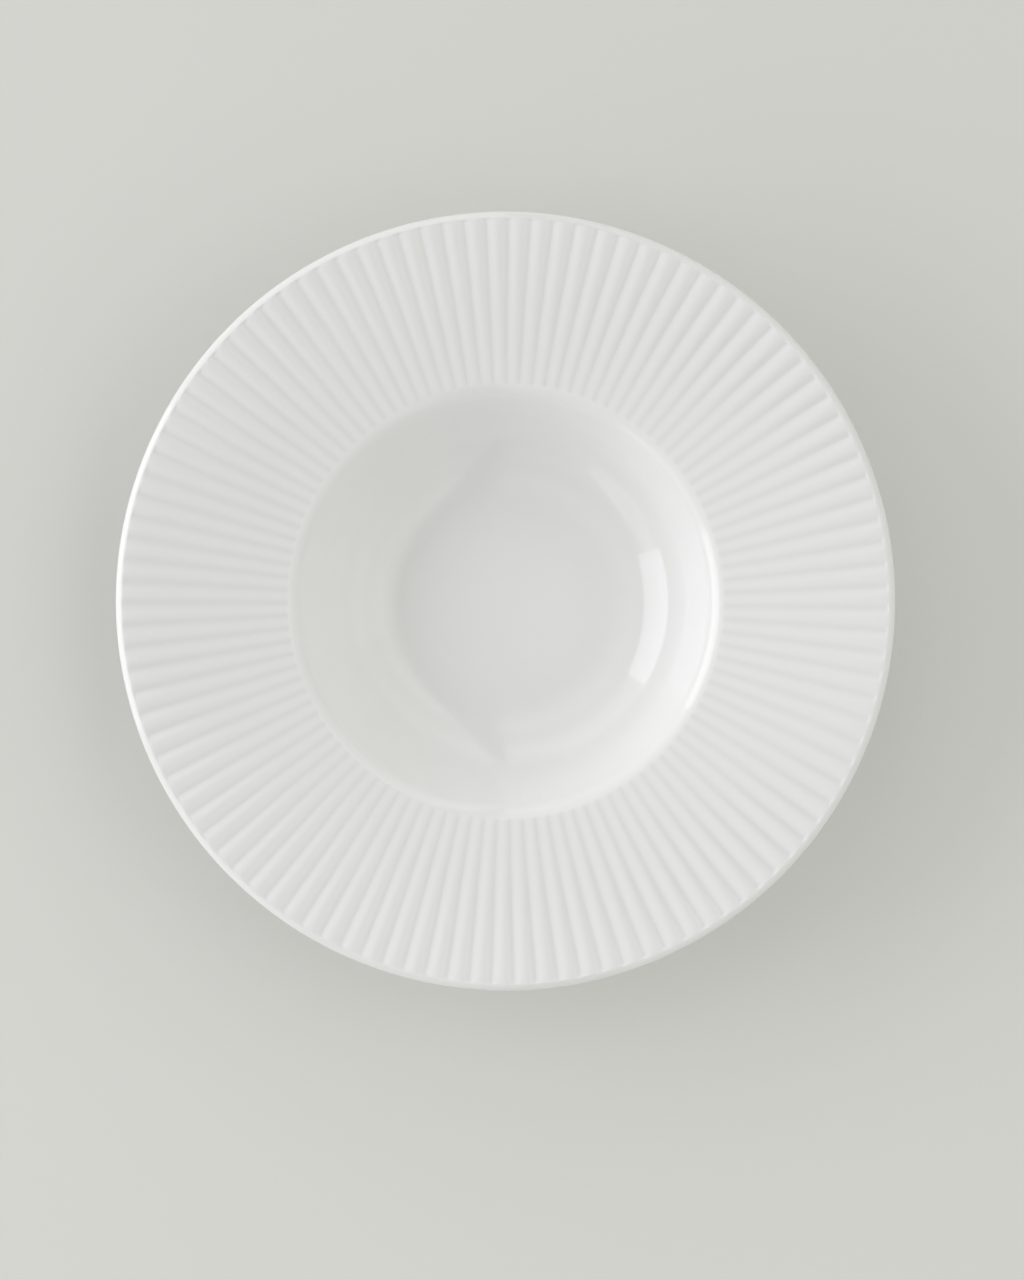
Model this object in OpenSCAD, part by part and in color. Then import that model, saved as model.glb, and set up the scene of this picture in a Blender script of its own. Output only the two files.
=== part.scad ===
// Pasta bowl with a deep round well and a wide rim of radial ribs.
// One glazed porcelain casting, drawn as the zones that a potter names.
// Origin: centre of the foot's ground face, on the table. +Z is up.

/* [Overall] */
// Diameter over the lip
plate_d = 280; // [240:1:330]

/* [Well] */
// Diameter of the well, where it turns level into the rim
well_d = 160; // [146:1:180]
// Depth of the well, from its floor to the start of the rim
well_depth = 33.2; // [28:0.2:45]
// Radius of the curve between floor and wall
well_curve_r = 36; // [28:1:38]
// Lean of the wall, in degrees above the level
wall_lean = 60; // [50:1:65]
// Thickness of the floor
floor_t = 5; // [4.5:0.5:8]
// Thickness of the wall and of the rim's inner edge
wall_t = 4.5; // [3.5:0.5:5]

/* [Rim] */
// Radius of the rounded shoulder between wall and rim
shoulder_r = 9; // [6:0.5:11]
// Slope of the rim, in degrees
rim_slope = 7; // [0:0.5:12]
// Thickness of the rim at the lip, from a rib's crest to the underside
lip_t = 4.3; // [4:0.1:5.5]
// Radius of the lip's broad rounding on top, which the ribs run out into
edge_top_r = 4.6; // [4:0.1:6]
// Radius of the lip's tighter rounding underneath
edge_under_r = 1.6; // [1:0.1:2]

/* [Ribs] */
// Number of ribs round the rim
rib_count = 107; // [60:1:120]
// Height of a rib over its valleys, at the rib's outer end
rib_h = 0.7; // [0.4:0.05:0.8]

/* [Foot] */
// Outer diameter of the foot ring
foot_d = 96; // [85:1:105]
// Height of the foot ring, which is the depth of the recess inside it
foot_h = 3.5; // [2.5:0.5:6]
// Width of the foot ring where it joins the bowl
foot_w = 7; // [5:0.5:10]
// Draft on each flank of the foot ring
foot_draft = 0.8; // [0.2:0.1:1.2]
// Rounding beside the ground face
foot_round_r = 0.8; // [0.4:0.1:1.2]

/* [Hidden] */
$fn = 180;

plate_r = plate_d / 2;
well_r = well_d / 2;
foot_r = foot_d / 2;
floor_z = foot_h + floor_t;

// Steps in the round stretches of the profiles
curve_steps = 16;
shoulder_steps = 10;
edge_steps = 12;
small_steps = 5;

// The wall's own directions: up along it, and out through its thickness
wall_up = [cos(wall_lean), sin(wall_lean)];
wall_out = [sin(wall_lean), -cos(wall_lean)];
// The rim's own directions: out along the ribs, and up across them
rim_along = [cos(rim_slope), sin(rim_slope)];
rim_up = [-sin(rim_slope), cos(rim_slope)];

// Inner profile, from the rim back down to the floor
rim_start = [well_r, floor_z + well_depth];
shoulder_c = rim_start - shoulder_r * rim_up;
wall_top = shoulder_c - shoulder_r * wall_out;
curve_rise = well_curve_r * (1 - cos(wall_lean));
wall_len = (wall_top[1] - floor_z - curve_rise) / sin(wall_lean);
wall_foot = wall_top - wall_len * wall_up;
curve_c = wall_foot - well_curve_r * wall_out;
flat_r = curve_c[0];

// A spot on the rim's smooth top line, at a radius from the bowl's axis
function rim_top(r) = rim_start + (r - well_r) / rim_along[0] * rim_along;

// The lip's two roundings meet in this direction from their centres
edge_turn = asin((edge_top_r + edge_under_r - lip_t) / (edge_top_r - edge_under_r));
edge_meet = (edge_top_r - edge_under_r) * [cos(rim_slope + edge_turn), sin(rim_slope + edge_turn)];
edge_start_r = plate_r - edge_under_r - edge_meet[0] - edge_top_r * sin(rim_slope);
edge_top_c = rim_top(edge_start_r) - edge_top_r * rim_up;
edge_under_c = edge_top_c + edge_meet;

// The crests stay this far under the smooth top line, so that the shoulder runs out over them
crest_relief = rib_h / 10;

// The ribs end and the lip begins where the top rounding has come down to the valleys
valley_turn = 90 + rim_slope - acos(1 - (crest_relief + rib_h) / edge_top_r);
seam_r = min(edge_top_c[0] + edge_top_r * cos(valley_turn), edge_under_c[0]);
seam_turn = acos((seam_r - edge_top_c[0]) / edge_top_r);

// A spot on the rim's underside, at a radius from the bowl's axis
rim_under = rim_start - wall_t * rim_up;
edge_under = edge_under_c - edge_under_r * rim_up;
function rim_bottom(r) =
    rim_under + (r - rim_under[0]) / (edge_under[0] - rim_under[0]) * (edge_under - rim_under);

// A rib is the top of a round bar, and its neighbours cut it off at the valleys
half_pitch = 180 / rib_count;
rib_half_w = seam_r * tan(half_pitch);
rib_bar_r = (rib_half_w * rib_half_w + rib_h * rib_h) / (2 * rib_h);
inner_half_w = well_r * tan(half_pitch);
inner_rib_h = rib_bar_r - sqrt(rib_bar_r * rib_bar_r - inner_half_w * inner_half_w);
// The rim's plate stays this far under the valleys
rib_cover = rib_h / 3;
// The bars go this deep, into the plate
rib_root = rib_h * 3 / 2;

// How far a shape runs past what trims it
overrun = wall_t / 2;

// Points along a round stretch of a profile
function arc(centre, r, from, to, steps) =
    [for (k = [0:steps]) let (a = from + (to - from) * k / steps) centre + r * [cos(a), sin(a)]];

// A list of points without its first
function rest(points) = [for (k = [1:len(points) - 1]) points[k]];

// The bowl's floor and wall, up to the start of the shoulder
module well() {
    outer_r = well_curve_r + wall_t;
    // fillet from the outside of the curve down to the foot
    out = foot_r - flat_r;
    down = well_curve_r + floor_t;
    fillet_r = (out * out + down * down - outer_r * outer_r) / (2 * (outer_r - out));
    fillet_c = [foot_r + fillet_r, foot_h];
    fillet_turn = atan2(out + fillet_r, down);
    color([0.86, 0.86, 0.84]) rotate_extrude() polygon(concat(
        [[0, foot_h], [0, floor_z]],
        arc(curve_c, well_curve_r, -90, wall_lean - 90, curve_steps),
        [wall_top, wall_top + wall_t * wall_out],
        arc(curve_c, outer_r, wall_lean - 90, fillet_turn - 90, curve_steps),
        arc(fillet_c, fillet_r, fillet_turn + 90, 180, small_steps)
    ));
}

// Outline that trims the rim: joint with the wall, shoulder, top line, rib ends and joint with the lip
module rim_envelope() {
    joint_end = wall_top + (wall_t + overrun) * wall_out;
    polygon(concat(
        arc(shoulder_c, shoulder_r, 90 + wall_lean, 90 + rim_slope, shoulder_steps),
        arc(edge_top_c, edge_top_r, 90 + rim_slope, seam_turn, small_steps),
        [[seam_r, joint_end[1]], joint_end]
    ));
}

// The plate that carries the ribs
module rim_plate() {
    joint_under = wall_top + wall_t * wall_out;
    polygon(concat(
        [joint_under - overrun * wall_up],
        arc(shoulder_c, shoulder_r - wall_t, 90 + wall_lean, 90 + rim_slope, small_steps),
        [
            rim_bottom(seam_r + overrun),
            rim_top(seam_r + overrun) - (rib_h + rib_cover) * rim_up,
            rim_top(wall_top[0] - overrun) - (inner_rib_h + rib_cover) * rim_up,
            wall_top - overrun * wall_up,
        ]
    ));
}

// One rib, from under the shoulder to past the lip's joint
module rib() {
    near = wall_top[0] + overrun;
    start = rim_top(near) - crest_relief * rim_up;
    length = (seam_r + overrun - near) / rim_along[0];
    translate([start[0], 0, start[1]]) rotate([0, -rim_slope, 0]) rotate([90, 0, 90])
        linear_extrude(length) intersection() {
            translate([0, -rib_bar_r]) circle(rib_bar_r);
            translate([-rib_bar_r, -rib_root]) square([2 * rib_bar_r, rib_root + rib_h]);
        }
}

// The shoulder and the ribbed part of the rim
module ribbed_rim() {
    color([0.87, 0.87, 0.85]) intersection() {
        rotate_extrude() rim_envelope();
        union() {
            rotate_extrude() rim_plate();
            for (k = [0:rib_count - 1]) rotate([0, 0, k * 360 / rib_count]) rib();
        }
    }
}

// The plain lip outside the ribs: broadly rounded on top, tightly rounded underneath
module lip() {
    color([0.88, 0.88, 0.86]) rotate_extrude() polygon(concat(
        [rim_bottom(seam_r)],
        arc(edge_top_c, edge_top_r, seam_turn, rim_slope + edge_turn, small_steps),
        rest(arc(edge_under_c, edge_under_r, rim_slope + edge_turn, rim_slope - 90, edge_steps))
    ));
}

// The ring that the bowl stands on, with a bare ground face
module foot_ring() {
    inner_r = foot_r - foot_w;
    inner_c = [inner_r + foot_draft + foot_round_r, foot_round_r];
    outer_c = [foot_r - foot_draft - foot_round_r, foot_round_r];
    color([0.80, 0.78, 0.74]) rotate_extrude() polygon(concat(
        [[foot_r, foot_h], [inner_r, foot_h]],
        arc(inner_c, foot_round_r, 180, 270, small_steps),
        arc(outer_c, foot_round_r, 270, 360, small_steps)
    ));
}

foot_ring();
well();
ribbed_rim();
lip();
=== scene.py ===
import math

import bmesh
import bpy
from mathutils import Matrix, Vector


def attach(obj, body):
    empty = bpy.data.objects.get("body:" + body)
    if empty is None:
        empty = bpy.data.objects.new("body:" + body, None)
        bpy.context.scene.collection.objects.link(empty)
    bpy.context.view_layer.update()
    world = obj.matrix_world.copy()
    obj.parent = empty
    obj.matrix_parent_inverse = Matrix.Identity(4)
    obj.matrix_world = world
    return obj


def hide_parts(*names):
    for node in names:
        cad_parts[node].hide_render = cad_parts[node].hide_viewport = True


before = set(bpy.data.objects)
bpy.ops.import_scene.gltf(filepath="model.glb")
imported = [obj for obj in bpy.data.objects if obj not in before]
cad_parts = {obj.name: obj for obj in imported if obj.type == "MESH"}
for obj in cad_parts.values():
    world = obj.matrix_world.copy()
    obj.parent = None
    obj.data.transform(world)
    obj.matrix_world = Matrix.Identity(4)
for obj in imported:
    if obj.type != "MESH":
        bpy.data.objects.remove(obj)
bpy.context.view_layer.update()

# Sizes of the bowl in millimetres, the same as the construction's
MM = 0.001
PLATE_R = 140.0
WELL_R = 80.0
WELL_DEPTH = 33.2
WELL_CURVE_R = 36.0
WALL_LEAN = math.radians(60)
FLOOR_T = 5.0
WALL_T = 4.5
SHOULDER_R = 9.0
RIM_SLOPE = math.radians(7)
LIP_T = 4.3
EDGE_TOP_R = 4.6
EDGE_UNDER_R = 1.6
RIB_COUNT = 107
RIB_H = 0.7
CREST_RELIEF = RIB_H / 10
FOOT_R = 48.0
FOOT_H = 3.5
FOOT_W = 7.0
FOOT_DRAFT = 0.8
FOOT_ROUND_R = 0.8

# How the glaze softens the casting's ribs: the valleys' depth at the outer end in millimetres,
# the power of the radius by which they get shallow inwards, and a power that broadens the crests
GLAZED_RIB_H = 0.69
RIB_TAPER = 4.0
RIB_FULLNESS = 1.35
# The valleys fill up over this run, and are full this far before the lip
RIB_END_RUN = 1.5
RIB_END_GAP = 0.25
# How much depth the glaze takes to round the ribs' joints with the shoulder and with the lip
SHOULDER_BLEND = 0.06
RIB_END_BLEND = 0.6
# The foot has a fillet inside, and is bare below the glaze line
FOOT_FILLET_R = 0.9
GLAZE_LINE_H = 0.45

# Columns of the meshes: a rib is cut into steps that crowd towards its valleys,
# and the well and the foot take every third of them
RIB_COLUMNS = 12
SMOOTH_EVERY = 3
# Rows of the ribbed rim: over the shoulder, along the run, where they crowd inwards, and at the lip,
# where they start a little before its rounding
SHOULDER_ROWS = 18
RUN_ROWS = 13
RUN_CROWDING = 1.35
EDGE_ROWS = 16
EDGE_LEAD = 0.8
# Steps round the other curves
FLOOR_STEPS = 6
CURVE_STEPS = 44
UNDER_CURVE_STEPS = 24
EDGE_UNDER_STEPS = 26
EDGE_TOP_STEPS = 10
SMALL_STEPS = 8
FLAT_STEPS = 4


# Profile geometry: points are (distance from the axis, height)
def point(centre, radius, angle):
    return (centre[0] + radius * math.cos(angle), centre[1] + radius * math.sin(angle))


def arc(centre, radius, start, end, steps):
    return [point(centre, radius, start + (end - start) * k / steps) for k in range(steps + 1)]


def line(a, b, steps):
    return [(a[0] + (b[0] - a[0]) * k / steps, a[1] + (b[1] - a[1]) * k / steps)
            for k in range(1, steps)]


def soft_max(a, b, blend):
    """The larger of two values, with the corner between them rounded."""
    near = max(blend - abs(a - b), 0.0) / blend
    return max(a, b) + near * near * blend / 4


FLOOR_Z = FOOT_H + FLOOR_T
QUARTER = math.pi / 2
SAME_SPOT = 0.001
WELD_DISTANCE = 0.002
PITCH = 2 * math.pi / RIB_COUNT


def rim_top(r):
    return FLOOR_Z + WELL_DEPTH + (r - WELL_R) * math.tan(RIM_SLOPE)


rim_start = (WELL_R, rim_top(WELL_R))
rim_under = point(rim_start, -WALL_T, QUARTER + RIM_SLOPE)
shoulder_c = point(rim_start, -SHOULDER_R, QUARTER + RIM_SLOPE)
wall_top = point(shoulder_c, SHOULDER_R, QUARTER + WALL_LEAN)
wall_top_under = point(shoulder_c, SHOULDER_R - WALL_T, QUARTER + WALL_LEAN)
curve_rise = WELL_CURVE_R * (1 - math.cos(WALL_LEAN))
wall_len = (wall_top[1] - FLOOR_Z - curve_rise) / math.sin(WALL_LEAN)
wall_foot = point(wall_top, -wall_len, WALL_LEAN)
curve_c = point(wall_foot, -WELL_CURVE_R, WALL_LEAN - QUARTER)
flat_r = curve_c[0]

# The lip has a broad rounding on top and a tight one underneath, which meet in one direction
meet_turn = RIM_SLOPE + math.asin((EDGE_TOP_R + EDGE_UNDER_R - LIP_T) / (EDGE_TOP_R - EDGE_UNDER_R))
edge_top_x = PLATE_R - EDGE_UNDER_R - (EDGE_TOP_R - EDGE_UNDER_R) * math.cos(meet_turn)
edge_start_r = edge_top_x - EDGE_TOP_R * math.sin(RIM_SLOPE)
edge_top_c = point((edge_start_r, rim_top(edge_start_r)), -EDGE_TOP_R, QUARTER + RIM_SLOPE)
edge_under_c = point(edge_top_c, EDGE_TOP_R - EDGE_UNDER_R, meet_turn)
edge_under = point(edge_under_c, -EDGE_UNDER_R, QUARTER + RIM_SLOPE)

# The ribs end where the top rounding has come down to their valleys
valley_drop = RIB_H + CREST_RELIEF
seam_turn = QUARTER + RIM_SLOPE - math.acos(1 - valley_drop / EDGE_TOP_R)
seam_top = point(edge_top_c, EDGE_TOP_R, seam_turn)
SEAM_R = seam_top[0]
seam_share = (SEAM_R - rim_under[0]) / (edge_under[0] - rim_under[0])
seam_under = (SEAM_R, rim_under[1] + seam_share * (edge_under[1] - rim_under[1]))


def valley_depth(r):
    """Depth of the glazed valleys under the crests, before they fill up at their outer ends."""
    return GLAZED_RIB_H * (r / SEAM_R) ** RIB_TAPER


def rib_drop(r, across):
    """Depth of a rib's rounded section under the rim's top line, at -0.5 to 0.5 of the pitch."""
    end = min(max((SEAM_R - RIB_END_GAP - r) / RIB_END_RUN, 0.0), 1.0)
    depth = valley_depth(r) * end * end * (3 - 2 * end)
    return CREST_RELIEF + depth * math.sin(QUARTER * abs(2 * across) ** RIB_FULLNESS) ** 2


def shoulder_drop(r):
    """Depth of the shoulder's arc under the rim's top line, and negative beyond it."""
    if r < WELL_R:
        height = shoulder_c[1] + math.sqrt(max(SHOULDER_R ** 2 - (r - shoulder_c[0]) ** 2, 0))
        return rim_top(r) - height
    away = min(r - WELL_R, SHOULDER_R)
    return -away * away / (2 * SHOULDER_R)


def edge_drop(r):
    """Depth of the lip's rounding under the rim's top line, and negative inside it."""
    if r < edge_start_r:
        return -(edge_start_r - r) ** 2 / (2 * EDGE_TOP_R)
    height = edge_top_c[1] + math.sqrt(EDGE_TOP_R ** 2 - (r - edge_top_c[0]) ** 2)
    return (rim_top(r) - height) * math.cos(RIM_SLOPE)


def ribbed_drop(r, across):
    """Depth of the ribbed rim under its top line, from the shoulder to the joint with the lip."""
    drop = soft_max(rib_drop(r, across), shoulder_drop(r), SHOULDER_BLEND)
    blend = min(RIB_END_BLEND, (SEAM_R - r) / 2)
    return soft_max(drop, edge_drop(r), blend) if blend > SAME_SPOT else edge_drop(r)


# Mesh making
def column_shares(every=1):
    """Places across one rib, as shares of the pitch, without the last, which the next rib has."""
    turns = [k / RIB_COLUMNS for k in range(0, RIB_COLUMNS, every)]
    return [0.5 * math.sin(QUARTER * (2 * t - 1)) for t in turns]


def ring_angles(every):
    return [(rib + share) * PITCH for rib in range(RIB_COUNT) for share in column_shares(every)]


def finish_mesh(obj, sharp_angle):
    mesh = obj.data
    mesh.shade_smooth()
    mesh.set_sharp_from_angle(angle=sharp_angle)
    mesh.update()


def new_piece(name, mesh):
    obj = bpy.data.objects.new(name, mesh)
    bpy.context.scene.collection.objects.link(obj)
    return obj


def add_vertex(bm, r, a, z):
    return bm.verts.new((r * MM * math.cos(a), r * MM * math.sin(a), z * MM))


def revolve(name, outline, every=1):
    """A closed solid turned from a closed outline. A point on the axis becomes one vertex."""
    angles = ring_angles(every)
    bm = bmesh.new()
    rings = [[add_vertex(bm, r, a, z) for a in (angles if r > SAME_SPOT else [0.0])] for r, z in outline]
    for k, ring in enumerate(rings):
        after = rings[(k + 1) % len(rings)]
        for j in range(len(angles)):
            i = (j + 1) % len(angles)
            if len(ring) == 1 and len(after) == 1:
                continue
            if len(ring) == 1:
                bm.faces.new((ring[0], after[i], after[j]))
            elif len(after) == 1:
                bm.faces.new((ring[j], ring[i], after[0]))
            else:
                bm.faces.new((ring[j], ring[i], after[i], after[j]))
    mesh = bpy.data.meshes.new(name)
    bm.to_mesh(mesh)
    bm.free()
    return new_piece(name, mesh)


# Ribbed rim
def rib_rows():
    """The section of the rim as rows of (radius, height, is it ribbed), round the closed outline."""
    shoulder = arc(shoulder_c, SHOULDER_R, QUARTER + WALL_LEAN, QUARTER + RIM_SLOPE, SHOULDER_ROWS)
    top_r = [r for r, z in shoulder]
    run_end = edge_start_r - EDGE_LEAD
    top_r += [WELL_R + (run_end - WELL_R) * (k / RUN_ROWS) ** RUN_CROWDING for k in range(1, RUN_ROWS)]
    top_r += [run_end + (SEAM_R - run_end) * k / EDGE_ROWS for k in range(EDGE_ROWS + 1)]
    rows = [(r, None, True) for r in top_r]
    under = [seam_under] + line(seam_under, rim_under, FLAT_STEPS - 1)
    under += arc(shoulder_c, SHOULDER_R - WALL_T, QUARTER + RIM_SLOPE, QUARTER + WALL_LEAN, SMALL_STEPS)
    return rows + [(r, z, False) for r, z in under]


def rib_sector():
    """One rib with the rim under it, open at both sides, where its neighbours join on.

    An attribute on each vertex carries painted shade for the rib valleys, together with the glaze that
    pools there: 0 on a crest, and 1 in a valley.
    """
    shares = column_shares() + [0.5]
    bm = bmesh.new()
    valley_shade_layer = bm.verts.layers.float.new("valley_shade_and_pool")
    rows = []
    for r, z, ribbed in rib_rows():
        row = []
        for share in shares:
            height, valley_shade = z, 0.0
            if ribbed:
                drop = ribbed_drop(r, share)
                height = rim_top(r) - drop / math.cos(RIM_SLOPE)
                # Painted valley shade: 0 on the crest, growing to 1 at the valley's bottom
                valley_shade = (drop - ribbed_drop(r, 0.0)) / valley_depth(r)
            v = add_vertex(bm, r, share * PITCH, height)
            v[valley_shade_layer] = min(valley_shade, 1.0)
            row.append(v)
        rows.append(row)
    for k, row in enumerate(rows):
        after = rows[(k + 1) % len(rows)]
        for j in range(len(shares) - 1):
            bm.faces.new((row[j], after[j], after[j + 1], row[j + 1]))
    mesh = bpy.data.meshes.new("rib_sector")
    bm.to_mesh(mesh)
    bm.free()
    return mesh


def rib_pattern_tree():
    """Geometry nodes that set one sector round the axis, as many times as there are ribs, and weld them."""
    tree = bpy.data.node_groups.new("Rib_Pattern", "GeometryNodeTree")
    sockets = {}
    for name, kind in (("Geometry", "NodeSocketGeometry"), ("Rib Count", "NodeSocketInt"),
                       ("Weld Distance", "NodeSocketFloat"), ("Glaze", "NodeSocketMaterial")):
        sockets[name] = tree.interface.new_socket(name, in_out="INPUT", socket_type=kind)
    tree.interface.new_socket("Geometry", in_out="OUTPUT", socket_type="NodeSocketGeometry")
    nodes, links = tree.nodes, tree.links
    inputs = nodes.new("NodeGroupInput")
    points = nodes.new("GeometryNodePoints")
    index = nodes.new("GeometryNodeInputIndex")
    step = nodes.new("ShaderNodeMath")
    step.operation = "DIVIDE"
    step.inputs[0].default_value = 2 * math.pi
    turn = nodes.new("ShaderNodeMath")
    turn.operation = "MULTIPLY"
    euler = nodes.new("ShaderNodeCombineXYZ")
    rotation = nodes.new("FunctionNodeEulerToRotation")
    place = nodes.new("GeometryNodeInstanceOnPoints")
    realize = nodes.new("GeometryNodeRealizeInstances")
    weld = nodes.new("GeometryNodeMergeByDistance")
    paint = nodes.new("GeometryNodeSetMaterial")
    output = nodes.new("NodeGroupOutput")
    links.new(inputs.outputs["Rib Count"], points.inputs["Count"])
    links.new(inputs.outputs["Rib Count"], step.inputs[1])
    links.new(index.outputs[0], turn.inputs[0])
    links.new(step.outputs[0], turn.inputs[1])
    links.new(turn.outputs[0], euler.inputs["Z"])
    links.new(euler.outputs[0], rotation.inputs[0])
    links.new(points.outputs[0], place.inputs["Points"])
    links.new(inputs.outputs["Geometry"], place.inputs["Instance"])
    links.new(rotation.outputs[0], place.inputs["Rotation"])
    links.new(place.outputs[0], realize.inputs[0])
    links.new(realize.outputs[0], weld.inputs["Geometry"])
    links.new(inputs.outputs["Weld Distance"], weld.inputs["Distance"])
    links.new(weld.outputs[0], paint.inputs["Geometry"])
    links.new(inputs.outputs["Glaze"], paint.inputs["Material"])
    links.new(paint.outputs[0], output.inputs[0])
    return tree, {name: socket.identifier for name, socket in sockets.items()}


def make_ribbed_rim(glaze):
    seed = new_piece("rib_seed", rib_sector())
    tree, identifiers = rib_pattern_tree()
    pattern = seed.modifiers.new("ribs", "NODES")
    pattern.node_group = tree
    pattern[identifiers["Rib Count"]] = RIB_COUNT
    pattern[identifiers["Weld Distance"]] = WELD_DISTANCE * MM
    pattern[identifiers["Glaze"]] = glaze
    bpy.context.view_layer.update()
    graph = bpy.context.evaluated_depsgraph_get()
    mesh = bpy.data.meshes.new_from_object(seed.evaluated_get(graph), depsgraph=graph)
    mesh.name = "ribbed_rim"
    bpy.data.objects.remove(seed)
    return new_piece("porcelain_ribbed_rim", mesh)


# Turned pieces
def make_well():
    outer_r = WELL_CURVE_R + WALL_T
    out, down = FOOT_R - flat_r, WELL_CURVE_R + FLOOR_T
    fillet_r = (out ** 2 + down ** 2 - outer_r ** 2) / (2 * (outer_r - out))
    fillet_c = (FOOT_R + fillet_r, FOOT_H)
    turn = math.atan2(out + fillet_r, down)
    outline = [(0.0, FLOOR_Z)] + line((0, FLOOR_Z), (flat_r, FLOOR_Z), FLOOR_STEPS)
    outline += arc(curve_c, WELL_CURVE_R, -QUARTER, WALL_LEAN - QUARTER, CURVE_STEPS)
    outline += line(wall_foot, wall_top, FLOOR_STEPS) + [wall_top, wall_top_under]
    outline += arc(curve_c, outer_r, WALL_LEAN - QUARTER, turn - QUARTER, UNDER_CURVE_STEPS)
    outline += arc(fillet_c, fillet_r, turn + QUARTER, math.pi, SMALL_STEPS)[1:]
    outline += line((FOOT_R, FOOT_H), (0, FOOT_H), FLAT_STEPS + 1) + [(0.0, FOOT_H)]
    return revolve("porcelain_well", outline, SMOOTH_EVERY)


def make_lip():
    outline = arc(edge_top_c, EDGE_TOP_R, seam_turn, meet_turn, EDGE_TOP_STEPS)
    outline += arc(edge_under_c, EDGE_UNDER_R, meet_turn, RIM_SLOPE - QUARTER, EDGE_UNDER_STEPS)[1:]
    return revolve("porcelain_lip", outline + [seam_under])


def make_foot(bare_slot):
    """The foot ring. Its faces below the glaze line take the material in bare_slot."""
    inner_r = FOOT_R - FOOT_W
    inner_c = (inner_r + FOOT_DRAFT + FOOT_ROUND_R, FOOT_ROUND_R)
    outer_c = (FOOT_R - FOOT_DRAFT - FOOT_ROUND_R, FOOT_ROUND_R)
    fillet_c = (inner_r - FOOT_FILLET_R, FOOT_H - FOOT_FILLET_R)
    outline = [(FOOT_R, FOOT_H)]
    outline += arc(fillet_c, FOOT_FILLET_R, QUARTER, 0, SMALL_STEPS)
    outline += arc(inner_c, FOOT_ROUND_R, math.pi, math.pi + QUARTER, SMALL_STEPS)
    outline += line(outline[-1], (outer_c[0], 0.0), FLAT_STEPS)
    outline += arc(outer_c, FOOT_ROUND_R, -QUARTER, 0, SMALL_STEPS)
    outline += line(outline[-1], (FOOT_R, FOOT_H), FLAT_STEPS)
    foot = revolve("porcelain_foot", outline, SMOOTH_EVERY)
    for face in foot.data.polygons:
        if face.center.z < GLAZE_LINE_H * MM:
            face.material_index = bare_slot
    return foot


# Materials
FINE_CLOUD_SCALE = 9.0
FINE_CLOUD_SHARE = 0.25
GLAZE_LIGHT, GLAZE_DARK = (0.875, 0.875, 0.869, 1), (0.85, 0.85, 0.843, 1)
# Painted shade for the rib valleys, which also stands for the glaze pooled there: its colour, and how much
# of it is mixed in at a valley's bottom
VALLEY_SHADE_GLAZE = (0.775, 0.778, 0.765, 1)
VALLEY_SHADE_SHARE = 0.55
GLOSS_CLOUD_SCALE = 45.0
GLOSSIEST, DULLEST = 0.035, 0.07
BARE_LIGHT, BARE_DARK = (0.72, 0.69, 0.63, 1), (0.60, 0.56, 0.49, 1)


def node_group(name, inputs, outputs):
    group = bpy.data.node_groups.new(name, "ShaderNodeTree")
    for label, kind, value in inputs:
        socket = group.interface.new_socket(label, in_out="INPUT", socket_type=kind)
        socket.default_value = value
    for label, kind in outputs:
        group.interface.new_socket(label, in_out="OUTPUT", socket_type=kind)
    return group, group.nodes.new("NodeGroupInput"), group.nodes.new("NodeGroupOutput")


def noise(tree, vector, scale, detail=2.0):
    """A soft cloud from 0 to 1."""
    node = tree.nodes.new("ShaderNodeTexNoise")
    node.inputs["Detail"].default_value = detail
    tree.links.new(vector, node.inputs["Vector"])
    if isinstance(scale, (int, float)):
        node.inputs["Scale"].default_value = scale
    else:
        tree.links.new(scale, node.inputs["Scale"])
    return node.outputs["Fac"]


def maths(tree, operation, a, b):
    node = tree.nodes.new("ShaderNodeMath")
    node.operation = operation
    for socket, value in zip(node.inputs, (a, b)):
        if isinstance(value, (int, float)):
            socket.default_value = value
        else:
            tree.links.new(value, socket)
    return node.outputs[0]


def spread(tree, value, low, high):
    """Maps 0 to 1 onto low to high."""
    node = tree.nodes.new("ShaderNodeMapRange")
    tree.links.new(value, node.inputs["Value"])
    for label, number in (("To Min", low), ("To Max", high)):
        if isinstance(number, (int, float)):
            node.inputs[label].default_value = number
        else:
            tree.links.new(number, node.inputs[label])
    return node.outputs[0]


def fade(tree, value, start, end):
    """0 up to start and 1 from end on, with a soft passage between."""
    node = tree.nodes.new("ShaderNodeMapRange")
    node.interpolation_type = "SMOOTHSTEP"
    tree.links.new(value, node.inputs["Value"])
    node.inputs["From Min"].default_value = start
    node.inputs["From Max"].default_value = end
    return node.outputs[0]


def mix_colour(tree, factor, a, b):
    node = tree.nodes.new("ShaderNodeMix")
    node.data_type = "RGBA"
    tree.links.new(factor, node.inputs["Factor"])
    for socket, value in zip((node.inputs[6], node.inputs[7]), (a, b)):
        if isinstance(value, tuple):
            socket.default_value = value
        else:
            tree.links.new(value, socket)
    return node.outputs[2]


def tone_group():
    """Slow drifts of tone that fired porcelain shows, from two sizes of cloud."""
    group, given, result = node_group(
        "Fired_Tone",
        [("Vector", "NodeSocketVector", (0, 0, 0)), ("Light", "NodeSocketColor", (0.8, 0.8, 0.8, 1)),
         ("Dark", "NodeSocketColor", (0.7, 0.7, 0.7, 1)), ("Cloud Scale", "NodeSocketFloat", 18.0)],
        [("Colour", "NodeSocketColor")])
    vector, scale = given.outputs["Vector"], given.outputs["Cloud Scale"]
    broad = noise(group, vector, scale)
    fine = noise(group, vector, maths(group, "MULTIPLY", scale, FINE_CLOUD_SCALE))
    cloud = maths(group, "ADD", maths(group, "MULTIPLY", broad, 1 - FINE_CLOUD_SHARE),
                  maths(group, "MULTIPLY", fine, FINE_CLOUD_SHARE))
    colour = mix_colour(group, cloud, given.outputs["Light"], given.outputs["Dark"])
    group.links.new(colour, result.inputs["Colour"])
    return group


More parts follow.
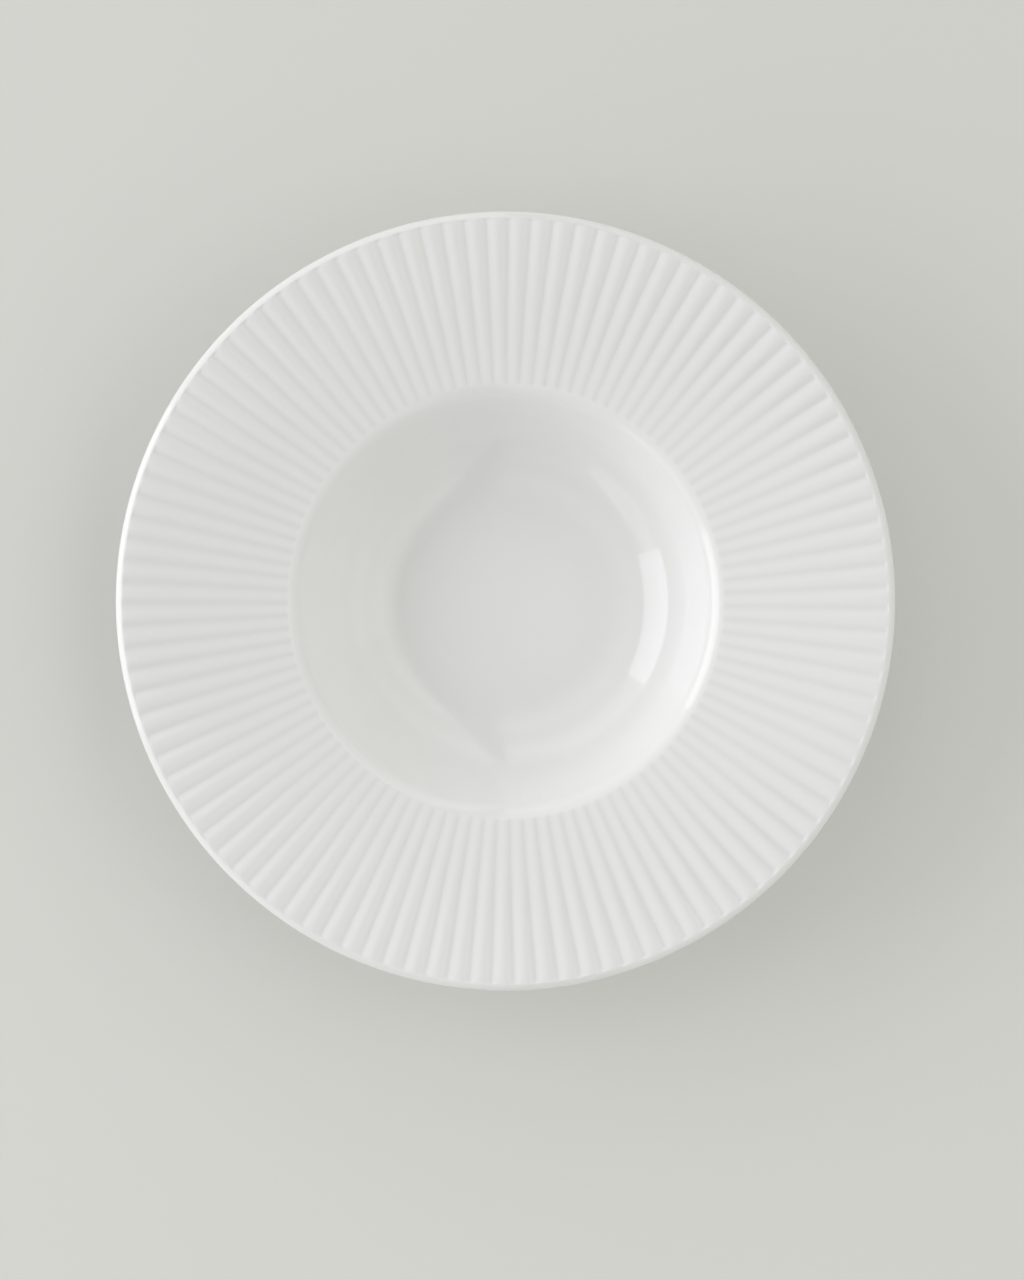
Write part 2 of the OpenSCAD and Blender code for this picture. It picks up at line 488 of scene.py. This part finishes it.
def relief_group():
    """Height of the surface's own unevenness, in metres: slow waves and fine peel."""
    group, given, result = node_group(
        "Fired_Relief",
        [("Vector", "NodeSocketVector", (0, 0, 0)), ("Wave Scale", "NodeSocketFloat", 30.0),
         ("Wave Height", "NodeSocketFloat", 0.00001), ("Peel Scale", "NodeSocketFloat", 600.0),
         ("Peel Height", "NodeSocketFloat", 0.0000005)],
        [("Height", "NodeSocketFloat")])
    wave = noise(group, given.outputs["Vector"], given.outputs["Wave Scale"], 1.0)
    peel = noise(group, given.outputs["Vector"], given.outputs["Peel Scale"], 1.0)
    height = maths(group, "ADD", maths(group, "MULTIPLY", wave, given.outputs["Wave Height"]),
                   maths(group, "MULTIPLY", peel, given.outputs["Peel Height"]))
    group.links.new(height, result.inputs["Height"])
    return group


def use_group(tree, group, vector, **values):
    node = tree.nodes.new("ShaderNodeGroup")
    node.node_tree = group
    tree.links.new(vector, node.inputs["Vector"])
    for label, value in values.items():
        node.inputs[label.replace("_", " ")].default_value = value
    return node


def new_material(name, roughness, ior):
    material = bpy.data.materials.new(name)
    material.use_nodes = True
    shader = material.node_tree.nodes["Principled BSDF"]
    shader.inputs["Roughness"].default_value = roughness
    shader.inputs["IOR"].default_value = ior
    place = material.node_tree.nodes.new("ShaderNodeTexCoord").outputs["Object"]
    return material, material.node_tree, shader, place


def add_relief(tree, shader, height):
    bump = tree.nodes.new("ShaderNodeBump")
    bump.inputs["Distance"].default_value = 1.0
    tree.links.new(height, bump.inputs["Height"])
    tree.links.new(bump.outputs["Normal"], shader.inputs["Normal"])


def glazed_porcelain(tones, reliefs):
    """White porcelain under clear gloss glaze, greyed by painted shade in the rib valleys, where the glaze
    also pools.
    """
    material, tree, shader, place = new_material("Glazed_Porcelain", GLOSSIEST, 1.5)
    body = use_group(tree, tones, place, Light=GLAZE_LIGHT, Dark=GLAZE_DARK, Cloud_Scale=14.0)
    # Painted shade: the rib valleys are mixed towards a greyer colour
    valley_shade = tree.nodes.new("ShaderNodeAttribute")
    valley_shade.attribute_name = "valley_shade_and_pool"
    valley_shading = maths(tree, "MULTIPLY", valley_shade.outputs["Fac"], VALLEY_SHADE_SHARE)
    colour = mix_colour(tree, valley_shading, body.outputs["Colour"], VALLEY_SHADE_GLAZE)
    tree.links.new(colour, shader.inputs["Base Color"])
    gloss = noise(tree, place, GLOSS_CLOUD_SCALE)
    tree.links.new(spread(tree, gloss, GLOSSIEST, DULLEST), shader.inputs["Roughness"])
    relief = use_group(tree, reliefs, place, Wave_Scale=28.0, Wave_Height=0.00003,
                       Peel_Scale=500.0, Peel_Height=0.0000006)
    add_relief(tree, shader, relief.outputs["Height"])
    return material


def bare_porcelain(tones, reliefs):
    """Unglazed porcelain of the ground face: matt, warmer and finely grained."""
    material, tree, shader, place = new_material("Bare_Porcelain", 0.75, 1.45)
    body = use_group(tree, tones, place, Light=BARE_LIGHT, Dark=BARE_DARK, Cloud_Scale=60.0)
    tree.links.new(body.outputs["Colour"], shader.inputs["Base Color"])
    relief = use_group(tree, reliefs, place, Wave_Scale=200.0, Wave_Height=0.00003,
                       Peel_Scale=2500.0, Peel_Height=0.00002)
    add_relief(tree, shader, relief.outputs["Height"])
    return material


# The bowl
tones, reliefs = tone_group(), relief_group()
glaze = glazed_porcelain(tones, reliefs)
bare = bare_porcelain(tones, reliefs)
CREASE = math.radians(35)
BARE_SLOT = 1
for piece, node, slot, finishes in (
        (make_ribbed_rim(glaze), "ribbed_rim", "glaze", [glaze]),
        (make_well(), "well", "glaze", [glaze]),
        (make_lip(), "lip", "glaze", [glaze]),
        (make_foot(BARE_SLOT), "foot_ring", "foot", [glaze, bare])):
    piece.data.materials.clear()
    for finish in finishes:
        piece.data.materials.append(finish)
    finish_mesh(piece, CREASE)
    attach(piece, "root")
    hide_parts(node)


# Stage: a pale level floor, whose shadows are lifted a little for the camera and for mirror images
FLOOR_HALF = 1.25
FLOOR_LIGHT, FLOOR_DARK = (0.74, 0.745, 0.715, 1), (0.725, 0.73, 0.70, 1)
FLOOR_LIFT_COLOUR = (0.645, 0.65, 0.60, 1)
FLOOR_LIFT_SHARE = 0.2


def make_floor():
    mesh = bpy.data.meshes.new("floor")
    corners = [(x * FLOOR_HALF, y * FLOOR_HALF, 0) for x, y in ((-1, -1), (1, -1), (1, 1), (-1, 1))]
    mesh.from_pydata(corners, [], [(0, 1, 2, 3)])
    floor = new_piece("floor", mesh)
    material, tree, shader, place = new_material("Pale_Tabletop", 0.85, 1.4)
    shader.inputs["Specular IOR Level"].default_value = 0.2
    tone = mix_colour(tree, noise(tree, place, 3.0), FLOOR_LIGHT, FLOOR_DARK)
    tree.links.new(tone, shader.inputs["Base Color"])
    lift = tree.nodes.new("ShaderNodeEmission")
    lift.inputs["Color"].default_value = FLOOR_LIFT_COLOUR
    seen = tree.nodes.new("ShaderNodeLightPath")
    blend = tree.nodes.new("ShaderNodeMixShader")
    looked_at = maths(tree, "MAXIMUM", seen.outputs["Is Camera Ray"], seen.outputs["Is Glossy Ray"])
    tree.links.new(maths(tree, "MULTIPLY", looked_at, FLOOR_LIFT_SHARE), blend.inputs[0])
    tree.links.new(shader.outputs[0], blend.inputs[1])
    tree.links.new(lift.outputs[0], blend.inputs[2])
    tree.links.new(blend.outputs[0], tree.nodes["Material Output"].inputs[0])
    mesh.materials.append(material)


make_floor()


# Light: a tall soft window on the left, a wide pale wall on the right, and a soft surround
def area_light(name, away, front, back, low, high, radiance, tint):
    """An upright soft panel at x = away that faces the bowl, from y = front to back and z = low to high."""
    data = bpy.data.lights.new(name, "AREA")
    data.shape = "RECTANGLE"
    data.size, data.size_y = back - front, high - low
    data.energy = radiance * math.pi * data.size * data.size_y
    data.color = tint
    lamp = bpy.data.objects.new(name, data)
    lamp.location = (away, (front + back) / 2, (low + high) / 2)
    lamp.rotation_euler = Vector((-away, 0, 0)).to_track_quat("-Z", "Z").to_euler()
    lamp.visible_camera = False
    bpy.context.scene.collection.objects.link(lamp)


WINDOW_X, WALL_X = -1.6, 1.3
WINDOW_LOW, WINDOW_HIGH = 0.04, 0.98
DAYLIGHT, WARM = (0.98, 0.988, 1.0), (1.0, 0.992, 0.95)
# Each panel's edges are shares of its distance: front, back, low and high. Then come radiance and tint
for name, away, front, back, low, high, radiance, tint in (
        ("window", WINDOW_X, -0.3, 0.58, WINDOW_LOW, WINDOW_HIGH, 2.04, DAYLIGHT),
        ("window_side", WINDOW_X, -0.7, -0.3, WINDOW_LOW, WINDOW_HIGH, 0.38, DAYLIGHT),
        ("window_end", WINDOW_X, -1.43, -0.7, WINDOW_LOW, WINDOW_HIGH, 0.88, DAYLIGHT),
        ("pale_wall", WALL_X, -4.7, 1.8, 0.27, 3.73, 0.38, WARM)):
    reach = abs(away)
    area_light(name, away, front * reach, back * reach, low * reach, high * reach, radiance, tint)

# Levels of the surround by the height of a direction, from the horizon up to overhead: left, then right
SURROUND_LEVELS = ((0.0, 0.68, 0.00), (0.26, 1.22, 0.33), (0.5, 1.00, 0.93), (0.7, 0.21, 0.79),
                   (0.86, 0.42, 1.61), (0.96, 0.50, 0.50), (1.0, 0.21, 0.21))
# How much brighter the back is than the middle
BACK_LEAN = 0.42
# A dark band just right of overhead, between two soft edges, as slopes of a direction's x over its z
BAND_STARTS, BAND_IS_DARK = -0.01, 0.05
BAND_LIGHTENS, BAND_ENDS = 0.25, 0.29
LOWEST_Z = 0.05
BACKDROP = (0.61, 0.615, 0.585, 1)


def make_surround():
    """A room without edges, which the glaze mirrors. The camera sees a plain backdrop in its place."""
    world = bpy.data.worlds.new("Surround")
    bpy.context.scene.world = world
    world.use_nodes = True
    tree = world.node_tree
    sky = tree.nodes["Background"]
    parts = tree.nodes.new("ShaderNodeSeparateXYZ")
    tree.links.new(tree.nodes.new("ShaderNodeTexCoord").outputs["Generated"], parts.inputs[0])
    levels = tree.nodes.new("ShaderNodeValToRGB")
    tree.links.new(parts.outputs["Z"], levels.inputs[0])
    stops = levels.color_ramp.elements
    stops[0].position, stops[1].position = SURROUND_LEVELS[0][0], SURROUND_LEVELS[-1][0]
    for height, left, right in SURROUND_LEVELS[1:-1]:
        stops.new(height)
    for stop, (height, left, right) in zip(stops, SURROUND_LEVELS):
        stop.color = (left, right, 0, 1)
    sides = tree.nodes.new("ShaderNodeSeparateColor")
    tree.links.new(levels.outputs[0], sides.inputs[0])
    rightness = maths(tree, "ADD", maths(tree, "MULTIPLY", parts.outputs["X"], 0.5), 0.5)
    level = spread(tree, rightness, sides.outputs[0], sides.outputs[1])
    lean = maths(tree, "ADD", maths(tree, "MULTIPLY", parts.outputs["Y"], BACK_LEAN), 1.0)
    slope = maths(tree, "DIVIDE", parts.outputs["X"], maths(tree, "MAXIMUM", parts.outputs["Z"], LOWEST_Z))
    dark = maths(tree, "MULTIPLY", fade(tree, slope, BAND_STARTS, BAND_IS_DARK),
                 fade(tree, slope, BAND_ENDS, BAND_LIGHTENS))
    lit = maths(tree, "MULTIPLY", maths(tree, "MULTIPLY", level, lean), maths(tree, "SUBTRACT", 1.0, dark))
    tree.links.new(lit, sky.inputs["Strength"])
    tint = mix_colour(tree, rightness, (*DAYLIGHT, 1), (*WARM, 1))
    tree.links.new(tint, sky.inputs["Color"])
    backdrop = tree.nodes.new("ShaderNodeBackground")
    backdrop.inputs["Color"].default_value = BACKDROP
    seen = tree.nodes.new("ShaderNodeLightPath")
    choose = tree.nodes.new("ShaderNodeMixShader")
    tree.links.new(seen.outputs["Is Camera Ray"], choose.inputs[0])
    tree.links.new(sky.outputs[0], choose.inputs[1])
    tree.links.new(backdrop.outputs[0], choose.inputs[2])
    tree.links.new(choose.outputs[0], tree.nodes["World Output"].inputs[0])


make_surround()

# Camera: straight above, with the lip's circle and the ribs where the photograph has them
PHOTO_W, PHOTO_H = 1024, 1280
LIP_CENTRE_X, LIP_CENTRE_Y, LIP_RADIUS = 505.5, 601.1, 389.7
LENS_DISTANCE = 1.3
CAMERA_ROLL = math.radians(-0.43)
SENSOR = 36.0
metres_per_pixel = PLATE_R * MM / LIP_RADIUS
lip_plane = edge_under_c[1] * MM
camera_data = bpy.data.cameras.new("overhead")
camera_data.sensor_fit = "VERTICAL"
camera_data.sensor_height = SENSOR
camera_data.sensor_width = SENSOR
camera_data.lens = SENSOR * LENS_DISTANCE / (PHOTO_H * metres_per_pixel)
camera = bpy.data.objects.new("overhead", camera_data)
picture_x = (PHOTO_W / 2 - LIP_CENTRE_X) * metres_per_pixel
picture_y = (LIP_CENTRE_Y - PHOTO_H / 2) * metres_per_pixel
camera.location = (picture_x * math.cos(CAMERA_ROLL) - picture_y * math.sin(CAMERA_ROLL),
                   picture_x * math.sin(CAMERA_ROLL) + picture_y * math.cos(CAMERA_ROLL),
                   lip_plane + LENS_DISTANCE)
camera.rotation_euler = (0, 0, CAMERA_ROLL)
bpy.context.scene.collection.objects.link(camera)
bpy.context.scene.camera = camera
bpy.context.scene.view_settings.view_transform = "Standard"
